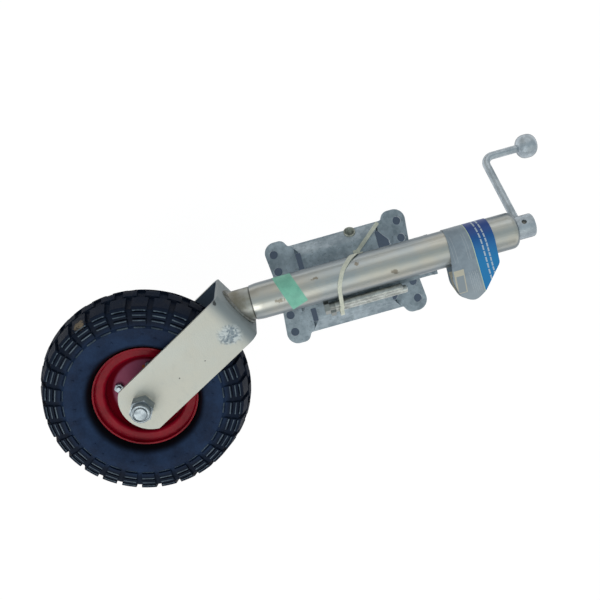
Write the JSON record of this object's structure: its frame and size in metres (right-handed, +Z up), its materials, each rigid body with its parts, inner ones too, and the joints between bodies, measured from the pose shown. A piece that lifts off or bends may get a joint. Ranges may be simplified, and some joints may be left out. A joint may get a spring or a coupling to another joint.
{
  "type": "trailer jack",
  "caption": "Bolt-on swivel trailer jack: a crank lowers a leaning castor fork with a pneumatic wheel out of a round tube on a swinging bracket.",
  "frame": {"origin": "middle of the bolt pattern, on the back face of the clamp plate that meets the trailer", "axes": "+Z up along the jack's tube, +Y out of the bracket's back into the trailer, +X towards the wheel's lean"},
  "size_m": [0.3029, 0.1379, 0.6778],
  "materials": {
    "galvanised": "dull, mottled",
    "zinc_plate": "satin",
    "dark_steel": "oily",
    "bronze_nut": "machined",
    "red_rim": "gloss",
    "tyre_rubber": "matt",
    "black_rubber": "matt",
    "cream_nylon": "satin",
    "printed_card": "printed",
    "green_tape": "matt"
  },
  "bodies": {
    "bracket": {"bracket_plate": "galvanised", "clamp_plate": "galvanised", "lock_barrel": "dark_steel"},
    "latch": {"lock_pin": "dark_steel"},
    "mast": {"pivot_drum": "dark_steel", "saddle": "galvanised", "saddle_welds": "galvanised", "outer_tube": "zinc_plate", "top_bearing_cup": "dark_steel", "thrust_washer": "dark_steel", "mounting_bolts": "zinc_plate", "cable_tie": "cream_nylon", "card_tag": "printed_card", "green_tape": "green_tape"},
    "crank": {"lead_screw": "dark_steel", "crank_hub": "zinc_plate", "cross_pin": "dark_steel", "crank_arm": "zinc_plate", "crank_knob": "zinc_plate"},
    "nut": {"screw_nut": "bronze_nut"},
    "ram": {"ram_tube": "zinc_plate", "nut_seat_ring": "dark_steel", "nut_keeper_ring": "dark_steel", "fork": "zinc_plate", "fork_weld": "zinc_plate", "axle_bolt": "zinc_plate", "axle_nut": "zinc_plate", "axle_washers": "zinc_plate", "axle_sleeve": "dark_steel", "hub_spacers": "dark_steel"},
    "wheel": {"tyre": "tyre_rubber", "air_tube": "black_rubber", "rim_outer": "red_rim", "rim_inner": "red_rim", "wheel_hub": "red_rim", "wheel_bearings": "dark_steel", "rim_bolts": "zinc_plate", "rim_nuts": "zinc_plate", "valve_stem": "black_rubber"}
  },
  "joints": [
    {"name": "bracket_swing", "type": "hinge", "parent": "bracket", "child": "mast", "pos_m": [0, 0, 0.019], "axis": [0, 1, 0], "range_deg": [-90, 90]},
    {"name": "lock_pin_slide", "type": "slide", "parent": "bracket", "child": "latch", "axis": [1, 0, 0], "range_m": [0, 0.008]},
    {"name": "crank_turn", "type": "hinge", "parent": "mast", "child": "crank", "pos_m": [0, -0.054, 0.212], "axis": [0, 0, 1], "range_deg": [0, 18300]},
    {"name": "ram_travel", "type": "slide", "parent": "mast", "child": "nut", "axis": [0, 0, -1], "range_m": [0, 0.254]},
    {"name": "caster_swivel", "type": "hinge", "parent": "nut", "child": "ram", "pos_m": [0, -0.054, -0.12], "axis": [0, 0, 1], "continuous": true},
    {"name": "wheel_spin", "type": "hinge", "parent": "ram", "child": "wheel", "pos_m": [0.06806, -0.03319, -0.27526], "axis": [-0.2924, 0.9563, 0], "continuous": true}
  ],
  "couplings": [
    {"joint": "crank_turn", "follows": "ram_travel", "rad_per_m": 1256.6}
  ]
}
